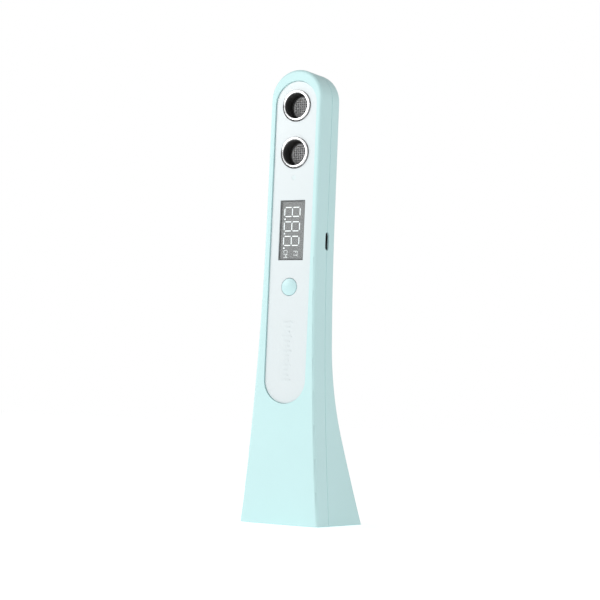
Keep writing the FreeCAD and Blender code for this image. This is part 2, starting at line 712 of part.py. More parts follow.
def make_can_pins(z):
    pins = [rod(PIN_RADIUS, CAN_BACK - PIN_INSIDE, SENSOR_BOARD_BACK + PIN_STICK_OUT, x, z) for x in PIN_X]
    return Part.makeCompound(pins)


# ---- boards ----
def make_sensor_board():
    wide = 2 * (CAN_RADIUS + SENSOR_BOARD_MARGIN)
    board = rounded(wide, SENSOR_BOARD_LENGTH, SENSOR_BOARD_CORNER, (CAN_BACK, SENSOR_BOARD_BACK), 0,
                    SENSOR_BOARD_MIDDLE)
    return board.cut([rod(PIN_HOLE, CAN_BACK, SENSOR_BOARD_BACK, x, z) for z in RING_Z for x in PIN_X])


def make_sensor_harness():
    """Wires from the sensor board's lower edge down to the main board's back."""
    near = CAN_BACK - HARNESS_STAND_OFF
    top, low = SENSOR_BOARD_LOW + HARNESS_UP, BOARD_TOP - HARNESS_DOWN
    wires = []
    for index in range(HARNESS_WIRES):
        x = (index - (HARNESS_WIRES - 1) / 2) * HARNESS_PITCH
        points = [V(x, CAN_BACK, top), V(x, near, top), V(x, near, low), V(x, BOARD_BACK, low)]
        wires.append(lead(points, HARNESS_RADIUS, HARNESS_BEND))
    return Part.makeCompound(wires)


def make_main_board():
    board = block((-BOARD_HALF_WIDTH, BOARD_HALF_WIDTH), (BOARD_FRONT, BOARD_BACK), (BOARD_LOW, BOARD_TOP))
    neck = UPPER_SCREW_X - WELL_RADIUS - WELL_WALL - PORT_ROOM
    shoulder = BOARD_TOP - BOARD_NECK_DROP
    sides = [block(span, (0, BASE_DEPTH), (shoulder, BOARD_TOP)) for span in ((neck, WIDE), (-WIDE, -neck))]
    pins = [rod(POST_PIN + POST_GAP, 0, BASE_DEPTH, x, z) for x, z in board_post_places()]
    port = block((port_inner_end() - PORT_ROOM, WIDE), (0, BASE_DEPTH),
                 (PORT_Z - PORT_LENGTH / 2, PORT_Z + PORT_LENGTH / 2))
    return board.cut(sides + pins + [port])


def make_control_chip():
    size = (CONTROL_CHIP_SIZE, CONTROL_CHIP_SIZE, CHIP_THICK)
    chip = box_of(size, BOARD_BACK, 0, DISPLAY_Z - CONTROL_CHIP_DOWN)
    top = [e for e in chip.Edges if e.BoundBox.YMin > BOARD_BACK + CHIP_THICK - TINY]
    return chip.makeChamfer(CHIP_CHAMFER, top)


def make_charger_chip():
    size = CHARGER_CHIP + (CHIP_THICK,)
    return box_of(size, BOARD_BACK, CHARGER_CHIP_X, BOARD_LOW + CHARGER_CHIP_UP)


def make_board_parts():
    """Small resistors and capacitors in two rows, and a crystal, on the board's back."""
    heights = [DISPLAY_Z + SMALL_PART_TOP_UP - i * SMALL_PART_PITCH for i in range(SMALL_PARTS_PER_ROW)]
    left, right = SMALL_PART_ROWS
    near_port = PORT_LENGTH / 2 + SMALL_PART_PORT_ROOM
    places = [(left, z) for z in heights] + [(right, z) for z in heights if abs(z - PORT_Z) >= near_port]
    wide, tall, thick = CRYSTAL
    crystal = rounded(wide, tall, CRYSTAL_CORNER, (BOARD_BACK, BOARD_BACK + thick), 0, DISPLAY_Z + CRYSTAL_UP)
    return Part.makeCompound([box_of(SMALL_PART, BOARD_BACK, x, z) for x, z in places] + [crystal])


# ---- display ----
def make_display_lens():
    width = WINDOW_WIDTH - 2 * LENS_GAP
    height = WINDOW_HEIGHT - 2 * LENS_GAP
    return rounded(width, height, LENS_CORNER, (LENS_FRONT, LENS_BACK), 0, DISPLAY_Z)


def make_display_gasket():
    """A foam frame, sticky on both sides, that holds the lens on the module."""
    width = WINDOW_WIDTH - 2 * MODULE_GAP
    height = WINDOW_HEIGHT - 2 * MODULE_GAP
    outer = centred(width, height, (LENS_BACK, MODULE_FACE), 0, DISPLAY_Z)
    inner = centred(width - 2 * GASKET_WIDTH, height - 2 * GASKET_WIDTH, (0, BASE_DEPTH), 0, DISPLAY_Z)
    return outer.cut(inner)


def bar(length, along_x, x, z):
    """One lit bar of a digit: a strip with pointed ends, set into the module's face."""
    half, tip = length / 2, BAR_WIDTH / 2
    outline = [(-half, 0), (-half + tip, tip), (half - tip, tip), (half, 0), (half - tip, -tip),
               (-half + tip, -tip)]
    if not along_x:
        outline = [(b, a) for a, b in outline]
    points = [V(x + a, MODULE_FACE, z + b) for a, b in outline]
    return Part.Face(Part.makePolygon(points + points[:1])).extrude(V(0, BAR_DEPTH, 0))


def digit(z):
    """Seven bars and a point. The digit's top is towards +X and it is read downwards."""
    side = (DIGIT_WIDE - BAR_WIDTH) / 2
    reach = (DIGIT_TALL - BAR_WIDTH) / 2
    long_bar = reach - 2 * BAR_GAP
    short_bar = 2 * (side - BAR_GAP)
    bars = [bar(short_bar, False, DIGIT_SHIFT + x, z) for x in (-reach, 0, reach)]
    bars += [bar(long_bar, True, DIGIT_SHIFT + x, z + up)
             for x in (-reach / 2, reach / 2) for up in (-side, side)]
    foot = DIGIT_SHIFT - reach + POINT_IN
    return bars + [rod(POINT_RADIUS, MODULE_FACE, MODULE_FACE + BAR_DEPTH, foot, z - DIGIT_PITCH / 2)]


def display_bars():
    first = DISPLAY_Z + FIRST_DIGIT_UP
    return [bar for index in range(DIGIT_COUNT) for bar in digit(first - index * DIGIT_PITCH)]


def make_display_segments():
    return Part.makeCompound(display_bars())


def make_display_housing():
    """The module's body, with room for the bars, the posts beside it and the port behind it."""
    housing = centred(WINDOW_WIDTH - 2 * MODULE_GAP, WINDOW_HEIGHT - 2 * MODULE_GAP,
                      (MODULE_FACE, BOARD_FRONT), 0, DISPLAY_Z)
    posts = [rod(POST_RADIUS + MODULE_ROOM, 0, BOARD_FRONT, x, z) for x, z in board_post_places()]
    near_port = slot_through_side(PORT_LENGTH + 2 * MODULE_ROOM, PORT_WIDTH + 2 * MODULE_ROOM,
                                  (port_inner_end() - MODULE_ROOM, BASE_WIDTH))
    return housing.cut(display_bars() + posts + [near_port])


# ---- button and switch ----
def make_button_cap():
    """A low domed button with a flange behind the tray and a foot on the switch."""
    face = PANEL_SET_BACK - BUTTON_PROUD
    flange_front = TRAY_BACK + BUTTON_FLANGE_GAP
    flange_back = flange_front + BUTTON_FLANGE_THICK
    dome_radius = (BUTTON_RADIUS ** 2 + BUTTON_DOME ** 2) / (2 * BUTTON_DOME)
    stem = rod(BUTTON_RADIUS, face, flange_back, 0, BUTTON_Z)
    ball = Part.makeSphere(dome_radius, V(0, face + dome_radius, BUTTON_Z))
    crown = stem.common(ball)
    rim = [e for e in crown.Edges if abs(e.BoundBox.YMax - face - BUTTON_DOME) < TINY]
    crown = crown.makeFillet(BUTTON_EDGE_RADIUS, rim)
    flange_radius = BUTTON_RADIUS + BUTTON_GAP + HOLE_GAP + BUTTON_FLANGE
    flange = rod(flange_radius, flange_front, flange_back, 0, BUTTON_Z)
    foot = rod(PLUNGER_RADIUS + BUTTON_FOOT_MARGIN, flange_front, PLUNGER_TIP, 0, BUTTON_Z)
    return joined([crown, flange, foot])


def make_switch_body():
    """An open-topped plastic box with a pocket for the dome and the plunger's flange."""
    box = centred(SWITCH_SIZE, SWITCH_SIZE, (COVER_BACK, BOARD_FRONT), 0, BUTTON_Z)
    pocket_radius = max(PLUNGER_RADIUS + PLUNGER_FLANGE, DOME_RADIUS - POCKET_GAP) + POCKET_GAP
    return box.cut(rod(pocket_radius, 0, BOARD_FRONT - SWITCH_FLOOR, 0, BUTTON_Z))


def make_switch_cover():
    """The switch's thin metal cover plate."""
    plate = centred(SWITCH_SIZE, SWITCH_SIZE, (SWITCH_FRONT, COVER_BACK), 0, BUTTON_Z)
    return plate.cut(rod(PLUNGER_RADIUS + PLUNGER_GAP, 0, BOARD_FRONT, 0, BUTTON_Z))


def make_switch_plunger():
    shaft = rod(PLUNGER_RADIUS, PLUNGER_TIP, PLUNGER_BACK, 0, BUTTON_Z)
    flange = rod(PLUNGER_RADIUS + PLUNGER_FLANGE, COVER_BACK + PLUNGER_FLANGE_GAP, PLUNGER_BACK, 0, BUTTON_Z)
    return joined([shaft, flange])


def make_switch_dome():
    """The snap dome under the plunger: a thin spherical cap."""
    bend = (DOME_RADIUS ** 2 + DOME_RISE ** 2) / (2 * DOME_RISE)
    centre = V(0, PLUNGER_BACK + bend, BUTTON_Z)
    keep = rod(DOME_RADIUS, PLUNGER_BACK - TINY, PLUNGER_BACK + DOME_RISE, 0, BUTTON_Z)
    return Part.makeSphere(bend, centre).cut(Part.makeSphere(bend - DOME_THICK, centre)).common(keep)


def make_indicator_led():
    return centred(LED_SIZE, LED_SIZE / 2, (BOARD_FRONT - LED_HEIGHT, BOARD_FRONT), 0, INDICATOR_Z)


# ---- charging port ----
def port_outer_end():
    return half_width_at(PORT_Z) - PORT_SET_BACK


def port_inner_end():
    return port_outer_end() - PORT_SHELL_DEPTH


def make_port_shell():
    """The socket's drawn metal shell, open to the side."""
    length = PORT_LENGTH - 2 * PORT_SHELL_GAP
    width = PORT_WIDTH - 2 * PORT_SHELL_GAP
    inside, outside = port_inner_end(), port_outer_end()
    solid = slot_through_side(length, width, (inside, outside))
    hollow = slot_through_side(length - 2 * PORT_SHELL_WALL, width - 2 * PORT_SHELL_WALL,
                               (inside + PORT_BACK_WALL, outside))
    return solid.cut(hollow)


def make_port_tongue():
    """The plastic tongue with the contacts, in the middle of the socket."""
    half_length = PORT_LENGTH / 2 - TONGUE_END_GAP
    return block((port_inner_end() + PORT_BACK_WALL, port_outer_end() - TONGUE_SET_BACK),
                 (SEAM_DEPTH - TONGUE_THICK / 2, SEAM_DEPTH + TONGUE_THICK / 2),
                 (PORT_Z - half_length, PORT_Z + half_length))


# ---- battery ----
def make_battery_cell():
    """A flat pouch cell with soft edges."""
    cell = centred(CELL_WIDTH, CELL_LENGTH, (CELL_BACK - CELL_THICK, CELL_BACK), 0, (CELL_TOP + CELL_LOW) / 2)
    return cell.makeFillet(CELL_EDGE_RADIUS, cell.Edges)


def make_battery_foam():
    return centred(CELL_WIDTH - 2 * FOAM_INSET_X, CELL_LENGTH - 2 * FOAM_INSET_Z,
                   (CELL_BACK, HANDLE_INSIDE), 0, (CELL_TOP + CELL_LOW) / 2)


def make_battery_connector():
    return box_of(CONNECTOR, BOARD_BACK, 0, CONNECTOR_LOW + CONNECTOR[1] / 2)


def make_battery_lead(side):
    """A short lead from the cell's top edge to the connector's lower face."""
    x = side * LEAD_SPREAD
    start = CELL_BACK - CELL_THICK / 2
    end = BOARD_BACK + CONNECTOR[2] / 2
    rise = (CELL_TOP + CONNECTOR_LOW) / 2
    points = [V(x, start, CELL_TOP), V(x, start, rise), V(x, end, rise), V(x, end, CONNECTOR_LOW)]
    return lead(points, LEAD_RADIUS, LEAD_BEND)


# ---- fasteners ----
def make_screw(x, z):
    """A self-tapping screw with a pan head and a cross recess, driven from the back."""
    top, end = SEAT_DEPTH + SCREW_HEAD_THICK, SEAT_DEPTH - SCREW_LENGTH
    head = rod(SCREW_HEAD_RADIUS, SEAT_DEPTH, top, x, z)
    head = head.makeFillet(SCREW_HEAD_EDGE, [e for e in head.Edges if e.BoundBox.YMin > top - TINY])
    shank = rod(PILOT_RADIUS, end + SCREW_TIP, SEAT_DEPTH, x, z)
    tip = Part.makeCone(SCREW_TIP_RADIUS, PILOT_RADIUS, SCREW_TIP, V(x, end, z), V(0, 1, 0))
    cross = [centred(wide, tall, (top - CROSS_DEEP, top), x, z)
             for wide, tall in ((CROSS_LONG, CROSS_WIDE), (CROSS_WIDE, CROSS_LONG))]
    return joined([head, shank, tip]).cut(cross)


def make_case_screws():
    return Part.makeCompound([make_screw(x, z) for x, z in screw_places()])


# ---- saving ----
def save(name, shape):
    """Moves a finished piece so that the origin is under the casing's middle, and writes it."""
    shape = shape.Solids[0].copy() if len(shape.Solids) == 1 else Part.makeCompound(shape.Solids)
    shape.translate(V(0, -BASE_DEPTH / 2, 0))
    shape.exportStep("parts/" + name + ".step")
    print(name, "solids", len(shape.Solids), "volume", round(shape.Volume, 2), "valid", shape.isValid())


def build():
    os.makedirs("parts", exist_ok=True)
    outer = body(0, FRONT_EDGE_RADIUS, REAR_EDGE_RADIUS, PAD_PROUD)
    inner = cavity()
    within = core()
    save("front_shell", make_front_shell(outer, inner, within))
    save("rear_shell", make_rear_shell(outer, inner, within))
    save("base_pad", make_base_pad())
    save("face_panel", make_face_panel())
    save("panel_adhesive", make_panel_adhesive())
    save("indicator_lens", make_indicator_lens())
    save("indicator_led", make_indicator_led())
    for name, z in zip(("transmitter", "receiver"), RING_Z):
        save(name + "_bezel_ring", make_bezel_ring(z))
        save(name + "_horn_sleeve", make_horn_sleeve(z))
        save(name + "_can", make_can(z))
        save(name + "_mesh", make_mesh(z))
        save(name + "_cone", make_cone(z))
        save(name + "_piezo", make_piezo(z))
        save(name + "_base", make_can_base(z))
        save(name + "_pins", make_can_pins(z))
    save("sensor_board", make_sensor_board())
    save("sensor_harness", make_sensor_harness())
    save("main_board", make_main_board())
    save("control_chip", make_control_chip())
    save("charger_chip", make_charger_chip())
    save("board_parts", make_board_parts())
    save("display_lens", make_display_lens())
    save("display_gasket", make_display_gasket())
    save("display_segments", make_display_segments())
    save("display_housing", make_display_housing())
    save("button_cap", make_button_cap())
    save("switch_body", make_switch_body())
    save("switch_cover", make_switch_cover())
    save("switch_plunger", make_switch_plunger())
    save("switch_dome", make_switch_dome())
    save("port_shell", make_port_shell())
    save("port_tongue", make_port_tongue())
    save("battery_cell", make_battery_cell())
    save("battery_foam", make_battery_foam())
    save("battery_connector", make_battery_connector())
    save("battery_lead_red", make_battery_lead(1))
    save("battery_lead_black", make_battery_lead(-1))
    save("case_screws", make_case_screws())


build()
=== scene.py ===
import math

import bmesh
import bpy
from mathutils import Matrix, Vector


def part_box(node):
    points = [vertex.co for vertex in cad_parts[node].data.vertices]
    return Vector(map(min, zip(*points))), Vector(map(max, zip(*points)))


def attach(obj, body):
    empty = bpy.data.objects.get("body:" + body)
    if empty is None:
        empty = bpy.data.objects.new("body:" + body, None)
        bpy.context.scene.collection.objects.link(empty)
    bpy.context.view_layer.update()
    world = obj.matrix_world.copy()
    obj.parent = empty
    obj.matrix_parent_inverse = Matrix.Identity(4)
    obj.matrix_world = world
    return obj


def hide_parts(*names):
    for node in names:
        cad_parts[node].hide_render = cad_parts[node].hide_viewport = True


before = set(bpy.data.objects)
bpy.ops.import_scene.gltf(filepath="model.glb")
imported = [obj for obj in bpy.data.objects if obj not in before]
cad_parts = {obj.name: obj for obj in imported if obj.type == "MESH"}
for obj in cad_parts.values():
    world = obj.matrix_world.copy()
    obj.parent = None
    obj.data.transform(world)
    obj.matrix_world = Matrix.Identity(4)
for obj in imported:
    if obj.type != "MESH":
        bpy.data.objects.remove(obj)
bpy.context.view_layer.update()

mm = 0.001
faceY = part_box("front_shell")[0].y      # the plane of the casing's face
print("frame loaded,", len(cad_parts), "nodes")


# one socket of a shader tree, with arithmetic on it
class Wire:
    def __init__(self, tree, socket=None):
        self.tree = tree
        self.socket = socket

    def feed(self, target, value):
        if isinstance(value, Wire):
            self.tree.links.new(value.socket, target)
        else:
            target.default_value = value

    # any node, from its type, its settings and what goes into its sockets
    def node(self, kind, settings=None, values=None, out=0):
        made = self.tree.nodes.new(kind)
        for name, value in (settings or {}).items():
            if name == "stops":
                ramp = made.color_ramp.elements
                while len(ramp) < len(value):
                    ramp.new(0.5)
                for element, (place, colour) in zip(ramp, value):
                    element.position = place
                    element.color = (*colour, 1)
            else:
                setattr(made, name, value)
        for name, value in (values or {}).items():
            self.feed(made.inputs[name], value)
        return Wire(self.tree, made.outputs[out])

    def maths(self, operation, first, second=0.0):
        return self.node("ShaderNodeMath", {"operation": operation}, {0: first, 1: second})

    def clamped(self, low, high):
        return self.node("ShaderNodeClamp", {}, {"Value": self, "Min": low, "Max": high})

    def __add__(self, other):
        return self.maths("ADD", self, other)

    __radd__ = __add__

    def __sub__(self, other):
        return self.maths("SUBTRACT", self, other)

    def __rsub__(self, other):
        return self.maths("SUBTRACT", other, self)

    def __mul__(self, other):
        return self.maths("MULTIPLY", self, other)

    __rmul__ = __mul__

    def __truediv__(self, other):
        return self.maths("DIVIDE", self, other)

    def __gt__(self, other):
        return self.maths("GREATER_THAN", self, other)


# a new material: fixed numbers on the shader, and the wires to build the rest with
class Finish:
    def __init__(self, name, **fixed):
        self.material = bpy.data.materials.new(name)
        self.material.use_nodes = True
        tree = self.material.node_tree
        self.shader = tree.nodes["Principled BSDF"]
        for socket, value in fixed.items():
            self.shader.inputs[socket.replace("_", " ")].default_value = value
        self.start = Wire(tree)
        self.place = self.start.node("ShaderNodeTexCoord", out="Object")

    def noise(self, scale, detail=3.0, rough=0.5, place=None):
        return self.start.node("ShaderNodeTexNoise", {}, {
            "Vector": place or self.place, "Scale": scale, "Detail": detail, "Roughness": rough})

    def axis(self, letter):
        return self.start.node("ShaderNodeSeparateXYZ", {}, {"Vector": self.place}, out=letter)

    def colours(self, factor, dark, pale):
        return self.start.node("ShaderNodeMix", {"data_type": "RGBA"}, {
            "Factor": factor, 6: (*dark, 1), 7: (*pale, 1)}, out=2)

    def bump(self, height, depth):
        wire = self.start.node("ShaderNodeBump", {}, {
            "Height": height, "Distance": depth, "Strength": 1.0})
        self.start.feed(self.shader.inputs["Normal"], wire)

    def colour(self, wire):
        self.start.feed(self.shader.inputs["Base Color"], wire)

    def rough(self, wire):
        self.start.feed(self.shader.inputs["Roughness"], wire)

    def send(self, socket, wire):
        self.start.feed(self.shader.inputs[socket], wire)


# a colour made darker or paler
def shaded(colour, amount):
    return tuple(min(1.0, part * amount) for part in colour)


# finishes, each with its own values
mintPlastic = {"base": (0.6, 0.855, 0.86), "spread": 0.03, "specular": 0.4, "roughness": 0.42,
               "grain": 2600.0, "grainDepth": 0.000006, "grainRough": 0.10,
               "mottle": 45.0, "mottleRough": 0.06}


def mintShell(name, look):
    finish = Finish(name, Specular_IOR_Level=look["specular"])
    mottle = finish.noise(look["mottle"], 4.0)
    grain = finish.noise(look["grain"], 2.0)
    finish.colour(finish.colours(mottle, shaded(look["base"], 1 - look["spread"]),
                                 shaded(look["base"], 1 + look["spread"] / 2)))
    smoothest = look["roughness"] - (look["grainRough"] + look["mottleRough"]) / 2
    finish.rough((grain * look["grainRough"] + mottle * look["mottleRough"] + smoothest).clamped(0.2, 0.8))
    finish.bump(grain, look["grainDepth"])
    return finish.material


palePanel = {"base": (0.755, 0.82, 0.835), "dark": 0.985, "pale": 1.01, "specular": 0.5,
             "roughness": 0.3, "wave": 18.0, "waveRough": 0.06, "waveDepth": 0.00002,
             "grain": 3200.0, "grainRough": 0.08, "coat": 0.1, "coatSpread": 0.2, "coatRoughness": 0.12}


def panelSatin(name, look):
    finish = Finish(name, Specular_IOR_Level=look["specular"], Coat_Roughness=look["coatRoughness"])
    slow = finish.noise(look["wave"], 2.0)
    fine = finish.noise(look["grain"], 2.0)
    smoothest = look["roughness"] - (look["grainRough"] + look["waveRough"]) / 2
    finish.colour(finish.colours(slow, shaded(look["base"], look["dark"]),
                                 shaded(look["base"], look["pale"])))
    finish.rough((fine * look["grainRough"] + slow * look["waveRough"] + smoothest).clamped(0.12, 0.6))
    finish.bump(slow * 0.8 + fine * 0.05, look["waveDepth"])
    finish.send("Coat Weight", (slow * look["coatSpread"] + look["coat"]).clamped(0, 1))
    return finish.material


# the bright rings' sizes, which their plating needs too
ringLook = {"bore": 6.25 * mm, "spigot": 7.1 * mm, "edge": 0.35 * mm, "edgePoints": 8,
            "mouth": 0.4 * mm, "mouthPoints": 6, "steps": 128}
# the outer band of painted shade widens towards edgeSide and the inner band of painted shade narrows
# towards mouthSide, the lit side, as (across, down)
plating = {"base": (0.86, 0.87, 0.88), "dark": (0.03, 0.03, 0.03), "blur": 0.05 * mm,
           "edgeWidth": 0.2 * mm, "lowEdgeWidth": 0.85 * mm, "edgeSide": (-0.74, 0.67),
           "edgeSpread": 1.5, "edgeStart": -0.1, "mouthWidth": 0.45 * mm, "mouthSide": (0.6, 0.8),
           "mouthSpread": 0.7, "mouthStart": 0.4, "roughness": 0.05, "smear": 240.0,
           "grain": 5000.0, "grainDepth": 0.000002}


# bright plating on both rings, with painted shade round the outer edge, most at the lower left, and painted
# shade in the horn's mouth, least on its lit side
def brightPlating(name, look):
    upper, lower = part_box("transmitter_bezel_ring"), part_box("receiver_bezel_ring")
    centres = [(low.z + high.z) / 2 for low, high in (upper, lower)]
    middle, half = sum(centres) / 2, (centres[0] - centres[1]) / 2
    finish = Finish(name)
    start = finish.start
    x = finish.axis("X")
    height = finish.axis("Z") - middle
    z = height - start.maths("SIGN", height) * half
    radius = start.maths("SQRT", x * x + z * z)
    # how far a point lies towards a side, from 0 to 1
    def towards(side, spread, first):
        return ((x * side[0] - z * side[1]) / radius * spread + first).clamped(0, 1)

    # painted shade round the ring's outer edge, widest at the lower left
    wider = towards(look["edgeSide"], look["edgeSpread"], look["edgeStart"])
    edge = wider * (look["lowEdgeWidth"] - look["edgeWidth"]) + look["edgeWidth"]
    outside = ((radius - (upper[1].x - edge)) / look["blur"]).clamped(0, 1)
    # painted shade in the ring's mouth, narrowest on the lit side
    lit = towards(look["mouthSide"], look["mouthSpread"], look["mouthStart"])
    mouth = ringLook["bore"] + look["mouthWidth"] * (1.0 - lit)
    inside = ((mouth - radius) / look["blur"]).clamped(0, 1)
    # the painted shade of both bands, which turns the plating black and not metallic
    dark = start.maths("MAXIMUM", outside, inside)
    smear = finish.noise(look["smear"], 4.0)
    fine = finish.noise(look["grain"], 2.0)
    finish.colour(start.node("ShaderNodeMix", {"data_type": "RGBA"}, {
        "Factor": dark, 6: finish.colours(smear, shaded(look["base"], 0.95), look["base"]),
        7: (*look["dark"], 1)}, out=2))
    finish.send("Metallic", 1.0 - dark)
    finish.rough((smear * 0.1 + fine * 0.04 + dark * 0.4 + look["roughness"]).clamped(0.03, 0.6))
    finish.bump(fine, look["grainDepth"])
    return finish.material


blackMoulding = {"specular": 0.3, "dark": 0.8, "pale": 1.3, "cloud": 160.0, "grain": 2200.0,
                 "grainRough": 0.15, "grainDepth": 0.00001}


def blackPlastic(name, look, base, roughness):
    finish = Finish(name, Specular_IOR_Level=look["specular"])
    fine = finish.noise(look["grain"], 3.0)
    slow = finish.noise(look["cloud"], 2.0)
    finish.colour(finish.colours(slow, shaded(base, look["dark"]), shaded(base, look["pale"])))
    finish.rough((fine * look["grainRough"] + (roughness - 0.07)).clamped(0.2, 0.95))
    finish.bump(fine, look["grainDepth"])
    return finish.material


# metal with fine lines round or along it, or a matt wire's finish where metal is 0
def workedMetal(name, base, roughness=0.3, lines=2500.0, stretch=(1.0, 1.0, 1.0), metal=1.0):
    finish = Finish(name, Metallic=metal)
    place = finish.start.node("ShaderNodeMapping", {}, {"Vector": finish.place, "Scale": stretch})
    streak = finish.noise(lines, 4.0, 0.6, place)
    smear = finish.noise(180.0, 3.0)
    finish.colour(finish.colours(streak * 0.5 + smear * 0.5, shaded(base, 0.86), shaded(base, 1.06)))
    finish.rough((streak * 0.18 + smear * 0.12 + (roughness - 0.15)).clamped(0.08, 0.9))
    finish.bump(streak, 0.000005)
    return finish.material


lensLook = {"dark": (0.70, 0.74, 0.74), "pale": (0.78, 0.82, 0.82), "roughness": 0.05, "ior": 1.49,
            "specular": 0.35, "haze": 900.0, "shown": 0.04, "shownSpread": 0.02}


def clearLens(name, look):
    finish = Finish(name, Roughness=look["roughness"], IOR=look["ior"],
                    Specular_IOR_Level=look["specular"])
    haze = finish.noise(look["haze"], 3.0)
    finish.colour(finish.colours(haze, look["dark"], look["pale"]))
    finish.send("Alpha", (haze * look["shownSpread"] + look["shown"]).clamped(0, 1))
    return finish.material


plugLook = {"dark": (0.70, 0.80, 0.81), "pale": (0.78, 0.87, 0.88), "roughness": 0.4,
            "specular": 0.4, "cloud": 700.0}


def milkyPlug(name, look):
    finish = Finish(name, Roughness=look["roughness"], Specular_IOR_Level=look["specular"])
    cloud = finish.noise(look["cloud"], 3.0)
    finish.colour(finish.colours(cloud, look["dark"], look["pale"]))
    return finish.material


displayFace = {"base": (0.215, 0.222, 0.222), "frame": (0.03, 0.034, 0.034), "rim": 0.4 * mm,
               "fade": 0.3 * mm, "specular": 0.35, "roughness": 0.4, "dots": 2600.0,
               "dotRough": 0.2, "dotDepth": 0.000006}


# the module's printed face, darker towards its rim
def displayInk(name, look):
    low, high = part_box("display_housing")
    finish = Finish(name, Specular_IOR_Level=look["specular"])
    halfX = (high.x - low.x) / 2
    halfZ = (high.z - low.z) / 2
    acrossX = finish.start.maths("ABSOLUTE", finish.axis("X")) / halfX
    acrossZ = finish.start.maths("ABSOLUTE", finish.axis("Z") - (low.z + high.z) / 2) / halfZ
    rim = (finish.start.maths("MAXIMUM", acrossX - (1 - look["rim"] / halfX),
                              acrossZ - (1 - look["rim"] / halfZ)) * (halfX / look["fade"])).clamped(0, 1)
    dots = finish.noise(look["dots"], 2.0)
    finish.colour(finish.colours(rim, look["base"], look["frame"]))
    finish.rough((dots * look["dotRough"] + look["roughness"]).clamped(0.1, 0.9))
    finish.bump(dots, look["dotDepth"])
    return finish.material


# white print, with a faint painted glow from its emission
printedInk = {"dark": (0.84, 0.88, 0.88), "pale": (0.93, 0.96, 0.96), "glow": (0.9, 1, 1, 1),
              "strength": 0.12, "specular": 0.3, "roughness": 0.4, "grain": 900.0, "grainRough": 0.2}


# white print that carries a faint painted glow
def whiteInk(name, look):
    finish = Finish(name, Specular_IOR_Level=look["specular"], Emission_Color=look["glow"],
                    Emission_Strength=look["strength"])
    grain = finish.noise(look["grain"], 3.0)
    finish.colour(finish.colours(grain, look["dark"], look["pale"]))
    finish.rough((grain * look["grainRough"] + look["roughness"]).clamped(0.2, 0.9))
    return finish.material


litDigit = {"dark": (0.84, 0.90, 0.90), "pale": (0.95, 0.98, 0.98), "dimGlow": (0.80, 0.92, 0.92),
            "fullGlow": (0.93, 1.0, 1.0), "strength": 0.4, "roughness": 0.45, "cloud": 700.0}


def litBar(name, look):
    finish = Finish(name, Roughness=look["roughness"], Emission_Strength=look["strength"])
    glow = finish.noise(look["cloud"], 2.0)
    finish.colour(finish.colours(glow, look["dark"], look["pale"]))
    finish.send("Emission Color", finish.colours(glow, look["dimGlow"], look["fullGlow"]))
    return finish.material


boardLook = {"mask": (0.012, 0.16, 0.07), "track": (0.03, 0.29, 0.13), "cells": 420.0,
             "trackWidth": 0.045, "trackEdge": 30.0, "weave": 1800.0, "weaveRough": 0.15,
             "roughness": 0.25, "depth": 0.00002}


def circuitBoard(name, look):
    finish = Finish(name, Specular_IOR_Level=0.5)
    cells = finish.start.node("ShaderNodeTexVoronoi", {"feature": "DISTANCE_TO_EDGE"},
                              {"Vector": finish.place, "Scale": look["cells"]})
    tracks = ((look["trackWidth"] - cells) * look["trackEdge"]).clamped(0, 1)
    weave = finish.noise(look["weave"], 2.0)
    finish.colour(finish.colours(tracks, look["mask"], look["track"]))
    finish.rough((weave * look["weaveRough"] + look["roughness"]).clamped(0.1, 0.8))
    finish.bump(tracks * 0.6 + weave * 0.2, look["depth"])
    return finish.material


def softRubber(name, base, roughness=0.7, pores=1400.0, depth=0.00003):
    finish = Finish(name, Specular_IOR_Level=0.25)
    skin = finish.noise(pores, 4.0, 0.6)
    finish.colour(finish.colours(skin, shaded(base, 0.9), shaded(base, 1.08)))
    finish.rough((skin * 0.2 + (roughness - 0.1)).clamped(0.3, 1.0))
    finish.bump(skin, depth)
    return finish.material


pouchLook = {"dark": (0.55, 0.56, 0.58), "pale": (0.8, 0.81, 0.83), "metal": 0.9, "roughness": 0.15,
             "crease": 160.0, "creaseDepth": 0.00012, "tape": (0.75, 0.50, 0.05), "tapeWidth": 6 * mm}


# crumpled foil of the cell's pouch, with a tape band across its top
def pouchFoil(name, look):
    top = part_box("battery_cell")[1].z
    finish = Finish(name, Specular_IOR_Level=0.5)
    tape = finish.axis("Z") > (top - look["tapeWidth"])
    crease = finish.noise(look["crease"], 5.0, 0.55)
    finish.colour(finish.start.node("ShaderNodeMix", {"data_type": "RGBA"}, {
        "Factor": tape, 6: finish.colours(crease, look["dark"], look["pale"]),
        7: (*look["tape"], 1)}, out=2))
    finish.send("Metallic", look["metal"] - tape * look["metal"])
    finish.rough((crease * 0.2 + tape * 0.2 + look["roughness"]).clamped(0.1, 0.9))
    finish.bump(crease, look["creaseDepth"])
    return finish.material


print("making finishes")
shellMint = mintShell("shellMint", mintPlastic)
buttonMint = mintShell("buttonMint", {**mintPlastic, "base": (0.58, 0.82, 0.835), "roughness": 0.3,
                                      "grainDepth": 0.000003})
panelPale = panelSatin("panelPale", palePanel)
ringBright = brightPlating("ringBright", plating)
sleeveBlack = blackPlastic("sleeveBlack", blackMoulding, (0.018, 0.018, 0.017), 0.6)
partBlack = blackPlastic("partBlack", blackMoulding, (0.03, 0.03, 0.03), 0.45)
chipBlack = blackPlastic("chipBlack", blackMoulding, (0.02, 0.02, 0.022), 0.6)
meshSteel = workedMetal("meshSteel", (0.97, 0.98, 0.98), 0.42, 6000.0, metal=0.0)  # a matt, pale wire
canMetal = workedMetal("canMetal", (0.78, 0.78, 0.79), 0.3, 1500.0, (1.0, 8.0, 1.0))
coneMetal = workedMetal("coneMetal", (0.08, 0.08, 0.083), 0.5, 900.0)
brassDisc = workedMetal("brassDisc", (0.78, 0.60, 0.28), 0.35, 1200.0)
